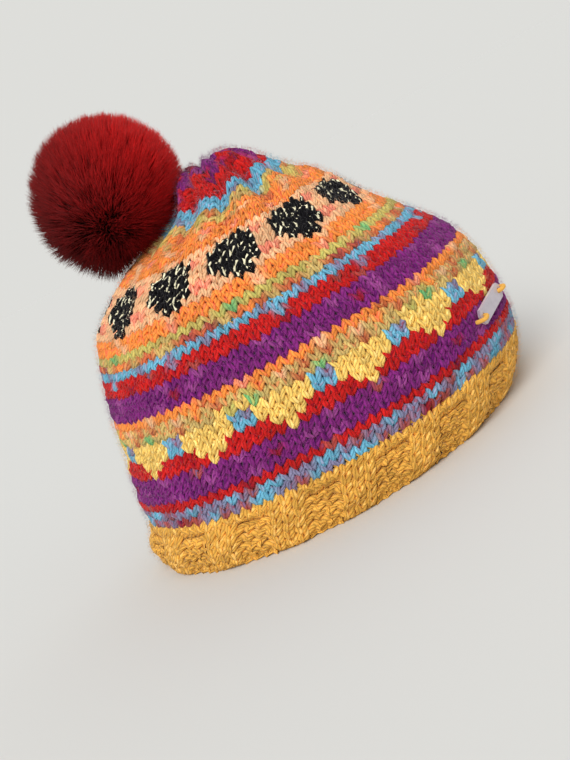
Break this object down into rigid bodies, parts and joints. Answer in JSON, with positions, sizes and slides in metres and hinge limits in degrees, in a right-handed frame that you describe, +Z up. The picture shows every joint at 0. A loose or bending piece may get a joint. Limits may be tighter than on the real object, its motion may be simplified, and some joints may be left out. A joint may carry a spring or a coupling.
{
  "type": "knitted pompom beanie",
  "caption": "Hand-knitted beanie with a ribbed band, colour-work stripes, a gathered crown, a fur pompom and a small sewn tag.",
  "frame": {"origin": "centre of the rim on the surface that the hat stands on", "axes": "+X towards the front of the hat, +Z up to the crown, -Y to the side with the tag"},
  "size_m": [0.2233, 0.1746, 0.2158],
  "materials": {
    "band_yarn": "matte hand knitting",
    "stripe_yarn": "matte hand knitting",
    "crown_yarn": "matte hand knitting",
    "fur": "long soft fur",
    "tie_yarn": "matte yarn",
    "tag_plastic": "clear, slightly frosted",
    "stitch_yarn": "matte yarn"
  },
  "bodies": {
    "root": {"rib_band": "band_yarn", "knit_body": "stripe_yarn", "knit_crown": "crown_yarn", "pompom": "fur", "pompom_tie": "tie_yarn", "label_tag": "tag_plastic", "tag_stitch_front": "stitch_yarn", "tag_stitch_side": "stitch_yarn"}
  },
  "joints": []
}
